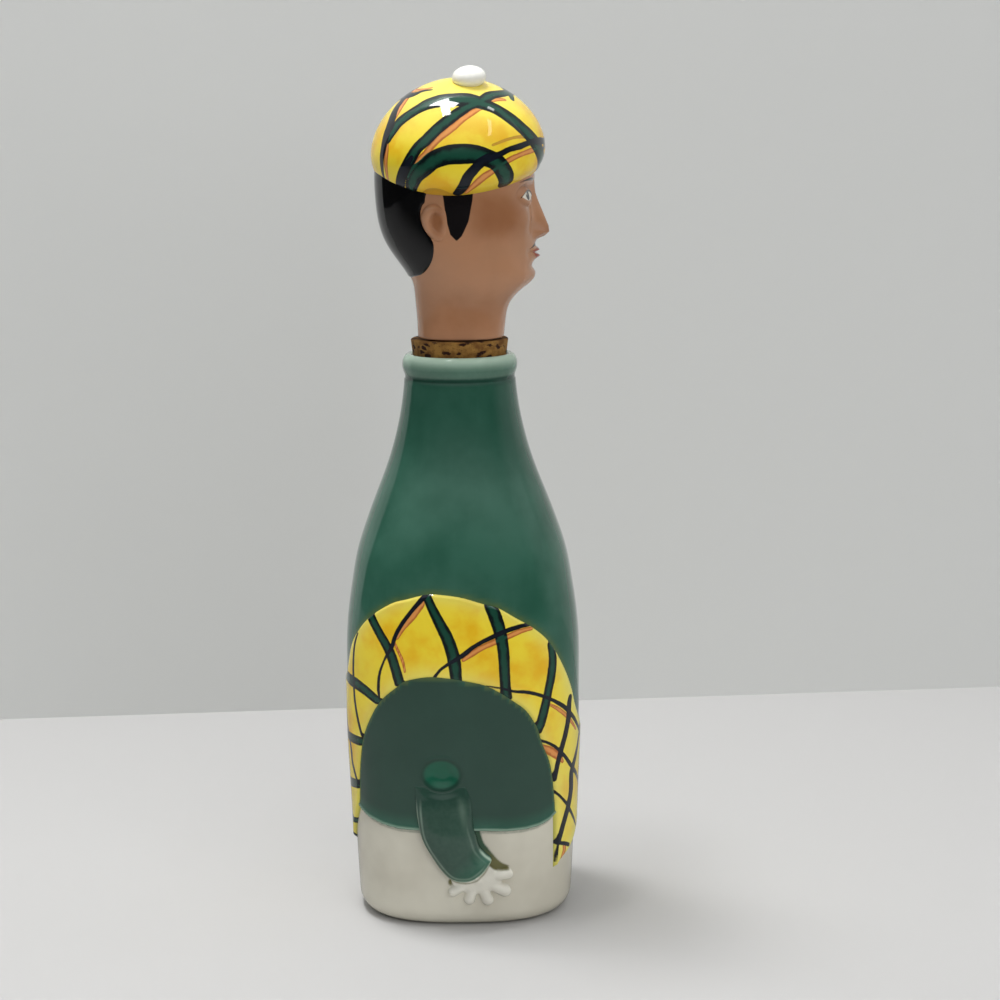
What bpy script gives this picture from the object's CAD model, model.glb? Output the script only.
"""Builds the looks of a figural liquor decanter: a man in a glazed coat and a tartan shawl, his head the stopper.

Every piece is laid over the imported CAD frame. Sizes are in millimetres until a mesh is placed, and then in metres.
Round pieces are spun and then pressed to the bottle's rounded square, and the raised coat, shawl and sleeves follow
outlines drawn on the bottle's unrolled side: how far round from the front, and how high.
"""

import math

import bmesh
import bpy
import numpy as np
from mathutils import Euler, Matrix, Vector


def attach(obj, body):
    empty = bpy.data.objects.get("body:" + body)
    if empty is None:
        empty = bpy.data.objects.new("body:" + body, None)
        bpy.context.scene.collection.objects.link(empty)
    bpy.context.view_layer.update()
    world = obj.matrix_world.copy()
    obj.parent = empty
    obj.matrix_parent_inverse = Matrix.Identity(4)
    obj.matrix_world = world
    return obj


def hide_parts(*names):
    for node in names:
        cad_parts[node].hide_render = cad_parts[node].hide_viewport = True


bl_info = {
    "name": "Figural decanter",
    "version": (1, 0, 0),
    "blender": (4, 5, 0),
    "location": "View3D > Sidebar > Decanter",
    "description": "Lays glazed pieces, cork and a small stage over a figural decanter's CAD frame",
    "category": "Add Mesh",
}

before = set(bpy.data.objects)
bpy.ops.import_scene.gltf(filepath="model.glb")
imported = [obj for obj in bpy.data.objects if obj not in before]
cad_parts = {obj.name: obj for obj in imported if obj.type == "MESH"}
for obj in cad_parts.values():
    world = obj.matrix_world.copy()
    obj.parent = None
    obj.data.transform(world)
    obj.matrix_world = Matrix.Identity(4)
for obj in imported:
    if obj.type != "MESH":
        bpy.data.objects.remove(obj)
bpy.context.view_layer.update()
MM = 0.001

# The bottle: its height, its half width and half depth at the waist, its neck's radius and the roundness of its foot
RIM = 181.0
WAIST_X = 37.0
WAIST_Y = 31.9
NECK = 16.8
HEEL = 5.5
WALL = 3.2  # the bottle's own wall
FLOOR_TOP = 5.0  # the floor inside
# The outline from the foot up: share of the height, and share of the waist's half width
SKIRT = ((0, 0.932), (0.1, 0.957), (0.2, 0.972), (0.31, 0.993))
# And on up: share of the height, and share of the way from the neck's radius out to the waist's
SHOULDER = (
    (0.43, 1), (0.49, 0.997), (0.55, 0.955), (0.6, 0.889), (0.65, 0.805), (0.7, 0.663), (0.75, 0.495), (0.8, 0.32),
    (0.86, 0.156), (0.92, 0.05), (0.98, 0),
)
HEAD_Z = 186.2  # the foot of the figure's neck
LIP_ROOT = 174.6  # where the coat turns into the rolled lip
CORK_TOP = (15.65, 185.7)  # radius, height
CORK_TAPER = 0.125
SQUARE = 2.7  # the power that rounds the bottle's plan
HEAD_ROUND = 2.3  # and the head's plan

# The head's plan up from the neck: height, front, back, half width
HEAD_ROWS = (
    (0, 14.2, 13.2, 13.6), (6.2, 14.9, 13.4, 13.3), (11.2, 16.5, 13.8, 13.8), (14.6, 19.4, 14.1, 15.1),
    (17.9, 22.1, 14.8, 16.4), (23, 22.9, 17.8, 17.8), (29.1, 23.1, 21.9, 18.9), (35.8, 23.3, 24.4, 19.6),
    (43.7, 23.4, 25.4, 20.1), (50.4, 23.6, 25.6, 20.3), (56, 23.2, 25.4, 20.2),
)
# The cap: its radius, its rise and drop from the widest ring, and that ring's middle
CAP_RADIUS = 27.3
CAP_RISE = 22.2
CAP_DROP = 13.7
CAP_MIDDLE = (0.2, 0.0, 244.6)
CAP_TILTS = (12.0, -4.6)  # degrees: right side down, front up
CAP_POWERS = (1.84, 2.34)  # the roundness of its dome and of its skirt
POMPON = (5.6, -2.6, CAP_RISE + 0.5)  # its middle, before the cap is tipped
POMPON_SIZE = (5.3, 5.3, 3.5)
# The glazes of the brushed strokes, in the order in which they lie over one another
GLAZES = ("gold", "orange", "green", "navy")
SIDES = ((-1, "right"), (1, "left"))

# Outlines on the unrolled side: degrees round from the front, height
WINDOW_EDGE = (
    (178, 8), (174, 16), (166, 25), (156, 33), (151.4, 38), (150.1, 42), (149.1, 47.6), (147.1, 53.7), (143.3, 62.2),
    (133.6, 73.2), (123.9, 79.1), (119.3, 81.3), (108.5, 82.8), (99, 82.5), (89.3, 81.6), (77.9, 80.1), (70.4, 77.7),
    (63.2, 74.6), (57, 71.3), (51.6, 65.7), (48.7, 60.1), (44.5, 53.8), (42.2, 47.5), (40.4, 39.6), (39.7, 34.6),
    (39.2, 25.7), (38.9, 18.7), (38.9, 8),
)
SHAWL_EDGE = (
    (200, 77), (180, 77.2), (169, 78), (161.2, 80.9), (153.6, 91), (148.3, 95.7), (143.1, 99.5), (137.4, 102.6),
    (127.5, 106.5), (119.6, 108.1), (108.3, 109.9), (98.6, 109.7), (88.7, 108.8), (79.1, 107.1), (69.6, 105.4),
    (60.6, 102), (51.8, 98.4), (43.2, 93.1), (34.3, 83.9), (27.6, 75.9), (22.6, 69.1), (12, 62), (0, 60), (-20, 60),
    (-20, 30), (0, 30), (12, 27), (26.2, 21.8), (32, 20.2), (35.5, 18.9), (38.8, 17.2), (60, 12), (130, 12),
    (152, 17), (160, 20), (169, 22), (180, 30), (200, 22),
)
HEM_LINE = (
    (0, 46), (20, 41), (40.2, 35), (42.7, 33.9), (48.8, 32.6), (56.4, 32), (65.8, 31.9), (78.5, 32.3), (116.2, 32.4),
    (126.4, 32.5), (134.4, 33.2), (144, 34.5), (150.2, 35.9), (165, 40), (180, 44),
)


def smooth_curve(points):
    """A natural cubic spline through points in order of their first value."""
    xs, ys = np.array(points, dtype=float).T
    n, h = len(xs), np.diff(xs)
    m, r = np.zeros((n, n)), np.zeros(n)
    m[0, 0] = m[-1, -1] = 1
    for i in range(1, n - 1):
        m[i, i - 1 : i + 2] = h[i - 1], 2 * (h[i - 1] + h[i]), h[i]
        r[i] = 6 * ((ys[i + 1] - ys[i]) / h[i] - (ys[i] - ys[i - 1]) / h[i - 1])
    bend = np.linalg.solve(m, r)

    def at(x):
        x = np.clip(x, xs[0], xs[-1])
        i = np.clip(np.searchsorted(xs, x) - 1, 0, n - 2)
        a, b = xs[i + 1] - x, x - xs[i]
        curved = (bend[i] * a**3 + bend[i + 1] * b**3) / (6 * h[i])
        return curved + (ys[i] / h[i] - bend[i] * h[i] / 6) * a + (ys[i + 1] / h[i] - bend[i + 1] * h[i] / 6) * b

    return at


def ease(t):
    """A soft step from 0 to 1."""
    t = np.clip(t, 0.0, 1.0)
    return t * t * (3 - 2 * t)


def bottle_rows():
    """The bottle's plan from the foot up: height, half width, half depth, and the power that rounds its corners."""
    rows = [(h * RIM, WAIST_X * w, WAIST_Y * w, SQUARE) for h, w in SKIRT]
    for h, w in SHOULDER:
        turn = float(ease((h - 0.5) / 0.32))
        half_x = NECK + (WAIST_X - NECK) * w
        half_y = NECK + (WAIST_Y - NECK) * w
        rows.append((h * RIM, half_x, half_y + (half_x - half_y) * turn, SQUARE + (2 - SQUARE) * turn))
    return rows + [(RIM * 1.6, NECK, NECK, 2.0)]


def curves_of(rows):
    """One smooth curve over the first value for each of the others."""
    return [smooth_curve([(row[0], row[i]) for row in rows]) for i in range(1, len(rows[0]))]


HALF_X, HALF_Y, POWER = curves_of(bottle_rows())
HEAD_FRONT, HEAD_BACK, HEAD_SIDE = curves_of(HEAD_ROWS)


def bottle_radius(angle, z, out=0.0, heel=HEEL):
    """How far from the axis the bottle's surface lies, moved out by out."""
    lift = np.clip(z, 0.0, heel)
    tuck = heel - np.sqrt(np.maximum(heel**2 - (heel - lift) ** 2, 0.0))
    a, b, n = HALF_X(z) + out - tuck, HALF_Y(z) + out - tuck, POWER(z)
    c, s = np.abs(np.cos(angle)), np.abs(np.sin(angle))
    return ((c / a) ** n + (s / b) ** n) ** (-1 / n)


ROUND_STEPS = np.radians(np.linspace(-20.0, 200.0, 881))
ROUND_XY = bottle_radius(ROUND_STEPS, 70.0) * np.array([np.cos(ROUND_STEPS), np.sin(ROUND_STEPS)])
ROUND_LENGTH = np.concatenate([[0.0], np.cumsum(np.hypot(*np.diff(ROUND_XY)))])
ROUND_LENGTH -= np.interp(0.0, ROUND_STEPS, ROUND_LENGTH)


def unrolled(angle):
    """The way round the waist from the front to an angle, in millimetres, the same on both sides."""
    return np.interp(np.abs(angle), ROUND_STEPS, ROUND_LENGTH)


def on_side(points):
    """Outline points in degrees and millimetres, as places on the unrolled side."""
    angle, height = np.array(points, dtype=float).T
    return np.stack([np.interp(np.radians(angle), ROUND_STEPS, ROUND_LENGTH), height], axis=1)


def flowing(points, cuts=6):
    """More points along the same line, rounded through the ones given."""
    p = np.asarray(points, dtype=float)
    before, after = np.vstack([p[:1], p[:-1]]), np.vstack([p[1:], p[-1:]])
    slope = (after - before) / 2
    t = np.linspace(0.0, 1.0, cuts, endpoint=False)[:, None]
    runs = [
        (2 * t**3 - 3 * t**2 + 1) * p[i]
        + (t**3 - 2 * t**2 + t) * slope[i]
        + (3 * t**2 - 2 * t**3) * p[i + 1]
        + (t**3 - t**2) * slope[i + 1]
        for i in range(len(p) - 1)
    ]
    return np.vstack(runs + [p[-1:]])


def nearest_on(points, line):
    """How far each point lies from a line of points, and where along the line, as a share of its steps."""
    best, share = np.full(len(points), 1e9), np.zeros(len(points))
    for i in range(len(line) - 1):
        run = line[i + 1] - line[i]
        part = np.clip((points - line[i]) @ run / max(run @ run, 1e-12), 0.0, 1.0)
        away = np.linalg.norm(points - line[i] - part[:, None] * run, axis=1)
        share = np.where(away < best, (i + part) / (len(line) - 1), share)
        best = np.minimum(away, best)
    return best, share


def inside_outline(u, z, outline):
    """Distance to a closed outline, above zero inside it."""
    closed = np.vstack([outline, outline[:1]])
    away, _ = nearest_on(np.stack([u, z], axis=1), closed)
    odd = np.zeros(u.shape, dtype=bool)
    for (u0, z0), (u1, z1) in zip(closed, closed[1:]):
        if z0 != z1:
            odd ^= ((z0 > z) != (z1 > z)) & (u < (u1 - u0) * (z - z0) / (z1 - z0) + u0)
    return np.where(odd, away, -away)


def rim_seat(z):
    """The mouth's taper, as the cork's."""
    return CORK_TOP[0] - CORK_TAPER * (CORK_TOP[1] - z)


def hump(value, centre, width):
    """A soft line of some width, 1 along its middle."""
    return np.exp(-(((value - centre) / width) ** 2))


def head_points(angle, height, out=0.0):
    """Places on the bare head, before its features, moved out by out."""
    front, back, side = HEAD_FRONT(height) + out, HEAD_BACK(height) + out, HEAD_SIDE(height) + out
    half, centre = (front + back) / 2, (front - back) / 2
    c, s = np.cos(angle), np.sin(angle)
    reach = ((np.abs(c) / half) ** HEAD_ROUND + (np.abs(s) / side) ** HEAD_ROUND) ** (-1 / HEAD_ROUND)
    return np.stack([centre + reach * c, reach * s, HEAD_Z + height], axis=1)


def bump(x, z, centre, size, power=2.0):
    """One soft swelling, 1 at its middle."""
    return np.exp(-(np.abs((x - centre[0]) / size[0]) ** power) - np.abs((z - centre[1]) / size[1]) ** power)


def dome(x, z, centre, size):
    """A round-topped swelling with a clear edge."""
    q = ((x - centre[0]) / size[0]) ** 2 + ((z - centre[1]) / size[1]) ** 2
    return np.sqrt(np.clip(1 - q, 0.0, 1.0))


# Meshes


def turned(rows, steps):
    """A unit tube: an upright line cut into rows, spun once round and cut again; also each place's angle and height."""
    bm = bmesh.new()
    line = bm.edges.new((bm.verts.new((1, 0, 0)), bm.verts.new((1, 0, 1))))
    bmesh.ops.subdivide_edges(bm, edges=[line], cuts=rows - 2)
    geom = bm.verts[:] + bm.edges[:]
    bmesh.ops.spin(
        bm, geom=geom, cent=(0, 0, 0), axis=(0, 0, 1), dvec=(0, 0, 0), angle=math.tau, steps=steps // 8, use_merge=True
    )
    rings = [edge for edge in bm.edges if abs(edge.verts[0].co.z - edge.verts[1].co.z) < 1e-6]
    bmesh.ops.subdivide_edges(bm, edges=rings, cuts=7)
    unit = places(bm)
    return bm, np.arctan2(unit[:, 1], unit[:, 0]), unit[:, 2]


def patch(columns, rows):
    """A unit square of small faces in the XZ plane, from -1 to 1 both ways."""
    bm = bmesh.new()
    bmesh.ops.create_grid(bm, x_segments=columns, y_segments=rows, size=1.0)
    bmesh.ops.rotate(bm, verts=bm.verts, cent=(0, 0, 0), matrix=Euler((math.pi / 2, 0, 0)).to_matrix())
    return bm


def places(bm):
    """Where all the vertices are."""
    return np.array([v.co for v in bm.verts])


def press(bm, points):
    """Moves each vertex to its point, given in millimetres."""
    for vert, point in zip(bm.verts, points * MM):
        vert.co = point


def soften(bm, times=1):
    """Evens out a pressed patch."""
    for _ in range(times):
        bmesh.ops.smooth_vert(bm, verts=bm.verts, factor=0.5, use_axis_x=True, use_axis_y=True, use_axis_z=True)


def trim(bm, height, limit):
    """Takes away the faces that lie wholly under a limit of some value per vertex."""
    bm.verts.index_update()
    low = [f for f in bm.faces if all(height[v.index] < limit for v in f.verts)]
    bmesh.ops.delete(bm, geom=low, context="FACES")


def face_out(bm, centre=(0.0, 0.0, 0.1)):
    """Gives all faces one direction, away from a point inside the piece."""
    bmesh.ops.remove_doubles(bm, verts=bm.verts, dist=2e-6)
    bmesh.ops.recalc_face_normals(bm, faces=bm.faces)
    middle = Vector(centre)
    outward = sum((f.calc_center_median() - middle).dot(f.normal) * f.calc_area() for f in bm.faces)
    if outward < 0:
        bmesh.ops.reverse_faces(bm, faces=bm.faces)


def finish_piece(name, bm, body, slot, nodes, paint=None):
    """Makes the piece's object, smooth, with its painted values, and ties it to the frame."""
    mesh = bpy.data.meshes.new(name)
    bm.to_mesh(mesh)
    bm.free()
    mesh.shade_smooth()
    mesh.materials.append(finish(slot))
    obj = bpy.data.objects.new(name, mesh)
    bpy.context.scene.collection.objects.link(obj)
    if paint:
        coords = np.empty(len(mesh.vertices) * 3)
        mesh.vertices.foreach_get("co", coords)
        for key, values in paint(coords.reshape(-1, 3) / MM).items():
            layer = mesh.attributes.new(key, "FLOAT", "POINT")
            layer.data.foreach_set("value", np.asarray(values, dtype=np.float32))
    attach(obj, body)
    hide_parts(*nodes)


# Materials


SOFT = {"interpolation_type": "SMOOTHSTEP"}
TINT = {"data_type": "RGBA"}


def tone(text):
    """An sRGB hex colour as the linear values that a shader takes."""
    parts = [int(text[i : i + 2], 16) / 255 for i in (1, 3, 5)]
    return (*[c / 12.92 if c <= 0.04045 else ((c + 0.055) / 1.055) ** 2.4 for c in parts], 1.0)


def blotch(size):
    """The noise scale that gives blotches some millimetres across."""
    return 1 / (size * MM)


def add(tree, kind, inputs=None, out=0, **settings):
    """Adds one node with its settings, plain values and links, and gives one of its outputs."""
    node = tree.nodes.new("ShaderNode" + kind)
    for key, value in settings.items():
        setattr(node, key, value)
    for key, value in (inputs or {}).items():
        if isinstance(value, bpy.types.NodeSocket):
            tree.links.new(value, node.inputs[key])
        else:
            node.inputs[key].default_value = value
    return node.outputs[out]


def new_material(name, roughness, waves=None, ior=1.52):
    """A material with its shader; waves are the width and height in millimetres of the swells in a poured glaze."""
    material = bpy.data.materials.new(name)
    material.use_nodes = True
    tree = material.node_tree
    shader = tree.nodes["Principled BSDF"]
    shader.inputs["Roughness"].default_value = roughness
    shader.inputs["IOR"].default_value = ior
    where = add(tree, "TexCoord", out="Object")
    if waves:
        swell = add(tree, "TexNoise", {"Vector": where, "Scale": blotch(waves[0]), "Detail": 1.0})
        tilt = add(tree, "Bump", {"Height": swell, "Distance": waves[1] * MM, "Strength": 1.0})
        tree.links.new(tilt, shader.inputs["Normal"])
    return material, tree, shader, where


def crossing(tree, value, span, low, high):
    """Goes from one colour to another while a value crosses a span, which may end with the least and greatest share."""
    share = add(tree, "MapRange", dict(enumerate((value, *span))), **SOFT)
    return add(tree, "Mix", {0: share, 6: low, 7: high}, 2, **TINT)


def clouded(tree, where, size, detail, span, low, high):
    """Drifts between two colours in clouds some millimetres across."""
    cloud = add(tree, "TexNoise", {"Vector": where, "Scale": blotch(size), "Detail": detail})
    return crossing(tree, cloud, span, low, high)


def laid_over(tree, colour, inks):
    """Lays colours over one another, each by its own painted value."""
    for key, ink in inks:
        share = add(tree, "Attribute", out="Fac", attribute_name=key)
        colour = add(tree, "Mix", {0: share, 6: colour, 7: ink}, 2, **TINT)
    return colour


def ragged(tree, noise, amount, key):
    """A painted value with noise in it, so that what follows it gets a ragged edge."""
    value = add(tree, "Attribute", out="Fac", attribute_name=key)
    return add(tree, "Math", {0: noise, 1: amount, 2: value}, operation="MULTIPLY_ADD")


def white_glaze():
    """Clear gloss glaze on white earthenware: warm white, glassy, stained where green glaze ran and pooled."""
    look = bpy.context.scene.decanter
    material, tree, shader, where = new_material("clear gloss glaze on white earthenware", look.gloss, (12, 0.10))
    colour = clouded(tree, where, 22, 3.0, (0.35, 0.7), look.white[:], tone("#d0cbbb"))
    colour = laid_over(tree, colour, [("clean", tone("#fbfaf2"))])
    fine = add(tree, "TexNoise", {"Vector": where, "Scale": blotch(1.6), "Detail": 3.0})
    ink = laid_over(tree, tone("#6d6a42"), [("green_run", tone("#35553f"))])
    colour = crossing(tree, ragged(tree, fine, 0.25, "run"), (0.2, 1.0), colour, ink)
    tree.links.new(colour, shader.inputs["Base Color"])
    return material


def green_glaze():
    """Bottle-green gloss glaze: deep where it pools, pale where it thins over raised edges."""
    look = bpy.context.scene.decanter
    material, tree, shader, where = new_material("bottle-green gloss glaze", look.gloss, (14, 0.08))
    colour = clouded(tree, where, 18, 4.0, (0.3, 0.7), look.green[:], tone("#3a6857"))
    upright = add(tree, "Mapping", {"Vector": where, "Scale": (1.0, 1.0, 0.12)})
    colour = clouded(tree, upright, 3.5, 3.0, (0.52, 0.85, 0.0, 0.35), colour, tone("#3f6e5c"))
    inks = (("dull", "#2c433a"), ("fresh", "#1f5f49"), ("bleed", "#747a2a"), ("pool", "#14362b"))
    colour = laid_over(tree, colour, [(key, tone(ink)) for key, ink in inks])
    fine = add(tree, "TexNoise", {"Vector": where, "Scale": blotch(1.6), "Detail": 3.0})
    thin = add(tree, "MapRange", {0: ragged(tree, fine, 0.06, "pale"), 1: 0.05, 2: 1.05})
    colour = add(tree, "Mix", {0: thin, 6: colour, 7: look.thin_green[:]}, 2, **TINT)
    tree.links.new(colour, shader.inputs["Base Color"])
    return material


def tartan_glaze():
    """Yellow gloss glaze over brushed strokes: broad green ones with dark rims, navy ones and thin orange ones."""
    look = bpy.context.scene.decanter
    material, tree, shader, where = new_material("yellow gloss glaze over brushed strokes", look.gloss, (9, 0.07))
    colour = clouded(tree, where, 13, 4.0, (0.40, 0.66), look.yellow[:], look.deep_yellow[:])
    inks = (("lemon", "#f4ea78"), ("amber", "#a87c34"), ("rim", "#66762c"))
    colour = laid_over(tree, colour, [(key, tone(ink)) for key, ink in inks])
    fine = add(tree, "TexNoise", {"Vector": where, "Scale": blotch(1.4), "Detail": 2.0})
    brushed = add(tree, "TexNoise", {"Vector": where, "Scale": blotch(2.6), "Detail": 3.0})
    core = add(tree, "MapRange", {0: ragged(tree, brushed, 0.7, "heart"), 1: 0.62, 2: 1.15}, **SOFT)
    inks = (("#c4942a", "#cf9d2e"), ("#bd6a30", "#e69c56"), ("#0a1416", "#1b4a3a"), ("#0d0f16", "#151b26"))
    for key, (rim, inner) in zip(GLAZES, inks):
        ink = add(tree, "Mix", {0: core, 6: tone(rim), 7: tone(inner)}, 2, **TINT)
        colour = crossing(tree, ragged(tree, fine, 0.22, key), (0.02, 0.26), colour, ink)
    tree.links.new(colour, shader.inputs["Base Color"])
    return material


def skin_glaze():
    """Flesh-coloured gloss glaze sprayed over bisque, with a brown blush, and lips and lashes in brushed colour."""
    look = bpy.context.scene.decanter
    material, tree, shader, where = new_material("flesh-coloured gloss glaze", look.gloss, (10, 0.05))
    colour = clouded(tree, where, 13, 3.0, (0.3, 0.7), look.skin[:], tone("#b38565"))
    sprayed = add(tree, "TexNoise", {"Vector": where, "Scale": blotch(6), "Detail": 3.0})
    blush = ragged(tree, sprayed, 0.35, "blush")
    colour = crossing(tree, blush, (0.1, 1.1, 0.0, 0.9), colour, tone("#93603e"))
    for key, ink in (("lip", "#9c4b3b"), ("sclera", "#e6dfd0"), ("dark", "#120f10")):
        depth = add(tree, "Attribute", out="Fac", attribute_name=key)
        colour = crossing(tree, depth, (0.0, 0.28), colour, tone(ink))
    tree.links.new(colour, shader.inputs["Base Color"])
    return material


def black_glaze():
    """Black gloss glaze, brushed on thick, with a few thin streaks."""
    look = bpy.context.scene.decanter
    material, tree, shader, where = new_material("black gloss glaze", look.gloss, (7, 0.06))
    upright = add(tree, "Mapping", {"Vector": where, "Scale": (1.0, 1.0, 0.2)})
    colour = clouded(tree, upright, 1.5, 3.0, (0.5, 0.8), tone("#050506"), tone("#110f0e"))
    tree.links.new(colour, shader.inputs["Base Color"])
    return material


def natural_cork():
    """Natural cork, turned and sanded: brown, dry, with dark lenticels two or three millimetres wide."""
    material, tree, shader, where = new_material("natural cork", 0.85, None, 1.4)
    colour = clouded(tree, where, 3, 5.0, (0.35, 0.7), tone("#9a7238"), tone("#6b451d"))
    flat = add(tree, "Mapping", {"Vector": where, "Scale": (1.0, 1.0, 1.9)})
    warp = add(tree, "TexNoise", {"Vector": flat, "Scale": blotch(1.8), "Detail": 4.0})
    cells = add(tree, "TexVoronoi", {"Vector": flat, "Scale": blotch(3.6)})
    fleck = add(tree, "Math", {0: warp, 1: 0.85, 2: cells}, operation="MULTIPLY_ADD")
    colour = crossing(tree, fleck, (0.84, 0.70), colour, tone("#2c1207"))
    colour = clouded(tree, where, 0.5, 3.0, (0.56, 0.72, 0.0, 0.6), colour, tone("#5d3b1c"))
    tree.links.new(colour, shader.inputs["Base Color"])
    dent = add(tree, "Bump", {"Height": fleck, "Distance": 0.3 * MM, "Strength": 0.7})
    tree.links.new(dent, shader.inputs["Normal"])
    return material


def set_glue():
    """Hardened brown glue, slightly glossy."""
    material, tree, shader, where = new_material("hardened brown glue", 0.35, (2, 0.05))
    colour = clouded(tree, where, 3, 3.0, (0.3, 0.7), tone("#6b4f30"), tone("#4c3620"))
    tree.links.new(colour, shader.inputs["Base Color"])
    return material


FINISHES = {
    "white_glaze": white_glaze,
    "green_glaze": green_glaze,
    "tartan_glaze": tartan_glaze,
    "skin_glaze": skin_glaze,
    "black_glaze": black_glaze,
    "cork": natural_cork,
    "cement": set_glue,
}
MADE = {}


def finish(slot):
    """The material of a slot, made once and then shared."""
    if slot not in MADE:
        MADE[slot] = FINISHES[slot]()
    return MADE[slot]


# Outlines and strokes


SHAWL_OUTLINE = flowing(on_side(SHAWL_EDGE), 4)
WINDOW_OUTLINE = flowing(on_side(WINDOW_EDGE), 4)
HEM = on_side(HEM_LINE)
PANEL_TOP = 95.0  # the coat below this, inside the window, is duller
SHAWL_SPAN = (15.0, 112.0)

# Strokes on the shawl: glaze, then degrees round from the front, height and half width at each point
SHAWL_STROKES = (
    ("green", (139, 102, 1.8), (133.2, 97, 1.6), (129.1, 93.3, 1.6), (125.8, 89.3, 1.7), (122, 81, 1.7)),
    ("navy", (109, 109.3, 0.9), (115.3, 104.8, 0.7), (120.4, 100.5, 0.7), (124, 96.3, 0.7), (125.9, 92.5, 0.7),
     (129.5, 88.3, 0.4), (132.3, 83.4, 0.5), (133.1, 78.7, 0.6), (132.7, 75.9, 0.4)),
    ("orange", (110.5, 107, 0.9), (111.5, 106, 1.1), (116, 102.3, 1.2), (120.1, 99, 0.9), (123.3, 95.5, 0.6)),
    ("orange", (124.9, 94.7, 0.4), (123.1, 92.1, 0.5), (120.4, 88.4, 0.5), (119.2, 84.9, 0.4)),
    ("green", (108.6, 109.6, 1.4), (105.9, 105.8, 1.5), (102.1, 101.2, 1.7), (98, 96.5, 1.9), (95.1, 91.7, 2),
     (93.7, 87.7, 2), (92.9, 82.5, 1.8), (92.8, 81, 1.8)),
    ("green", (74, 105.9, 2), (72.1, 103, 2.1), (70, 98.8, 2), (68.6, 94.6, 1.9), (67.8, 89.7, 1.8), (67.6, 85, 1.7),
     (67.2, 80.2, 1.7), (66.7, 76.5, 1.8)),
    ("orange", (53.4, 98, 0.6), (58.1, 97.6, 0.8), (63, 96.6, 0.9), (73.2, 94.2, 1), (78.7, 92.8, 0.9),
     (84.2, 90.9, 1), (89, 88.9, 0.6)),
    ("navy", (52.7, 99.2, 0.5), (58, 99.1, 0.7), (63, 98.4, 0.8), (67.7, 97.5, 0.8), (72.9, 96.2, 0.8),
     (78.7, 94.6, 0.7), (84, 92.8, 0.7), (89.5, 90.3, 0.8), (99.2, 86.8, 0.5), (103, 84.6, 0.5), (106.8, 81.2, 0.6)),
    ("green", (43.6, 92, 1.4), (42.8, 87.4, 1.6), (43.7, 82.2, 1.7), (45.4, 77.4, 1.6), (47.2, 72.5, 1.7),
     (49.2, 67.9, 1.7), (51.4, 64.5, 1.6)),
    ("orange", (44.2, 72.6, 0.5), (38.7, 70.2, 0.7), (31.7, 66.4, 0.7), (24, 61.5, 0.5)),
    ("navy", (76.8, 80.5, 0.3), (69.4, 79.6, 0.4), (63, 78.4, 0.5), (56.6, 77.8, 0.6), (50.2, 76.4, 0.6),
     (43.3, 74.1, 0.6), (35.8, 70.9, 0.8), (28.1, 66.6, 0.8), (18, 60.5, 0.8), (0, 51, 0.8)),
    ("navy", (49.6, 61.5, 0.5), (45.2, 60.2, 0.5), (39.9, 57.7, 0.6), (34.1, 54, 0.7), (28.6, 50.2, 0.8),
     (17.4, 44, 0.8), (0, 34, 0.7)),
    ("orange", (48.1, 59.3, 0.8), (43.9, 57.4, 1.4), (39.6, 55.2, 1.3), (36, 52.8, 0.6)),
    ("navy", (41.5, 43.9, 0.5), (37.2, 41.4, 0.5), (31.7, 37.9, 0.6), (26.4, 34, 0.7), (18, 28, 0.6)),
    ("navy", (30.5, 73, 1.2), (31.3, 71.1, 1.4), (32, 66.4, 1.4), (34.2, 61.8, 1.3), (37.2, 57.1, 1.2),
     (39.5, 52.7, 1.1), (41.2, 47.7, 1)),
    ("navy", (14, 62, 1), (19, 56, 1.3), (24.5, 51, 1.5), (27.7, 47.7, 1.6), (27.4, 42, 1.7), (29.4, 37.4, 1.6),
     (32.8, 33.1, 1.4), (35.7, 29, 1.3), (37.4, 26.2, 1.2)),
    ("navy", (38.6, 26, 0.6), (33, 24.8, 0.7), (28.3, 23.4, 0.7)),
    ("navy", (37.6, 25, 0.4), (38, 22.3, 0.4), (38.2, 19.5, 0.3)),
    ("orange", (33, 24, 0.8), (32.6, 22.5, 1), (35.1, 19.8, 0.6)),
    ("navy", (146.8, 95, 0.4), (149.4, 90.4, 0.6), (150.5, 84.3, 0.7), (150.6, 78.2, 0.7), (149.9, 72.9, 0.7),
     (148.2, 68.3, 0.7), (146.1, 64.5, 0.7), (143.8, 60.9, 0.6)),
    ("green", (181, 80.5, 1.8), (163, 79.3, 1.9), (154.9, 78.7, 2), (147.7, 78.4, 2), (140.7, 77.1, 1.8),
     (133.5, 74.6, 1.5)),
    ("green", (181, 57.6, 1.6), (168, 58.8, 1.6), (158.4, 59.2, 1.6), (150, 59.6, 1.6), (143.5, 59.8, 1.6)),
    ("green", (181, 41.6, 1.6), (168, 42.6, 1.6), (159.3, 43.6, 1.6), (148.5, 45, 1.5)),
    ("navy", (168, 66, 0.8), (157.8, 56.4, 1), (156.5, 51.4, 1), (153.3, 47.8, 0.9), (150.7, 44.9, 0.7)),
    ("green", (170, 31, 1.3), (157.7, 30.3, 1.4), (151, 30.1, 1.4)),
    ("navy", (150.5, 28.4, 0.6), (149.6, 25, 0.6), (149.2, 22.6, 0.4)),
    ("green", (168, 77.6, 1.2), (170.5, 66, 1.6), (172, 50, 1.6), (171, 30, 1.5), (168, 20.5, 1.2)),
)

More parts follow.
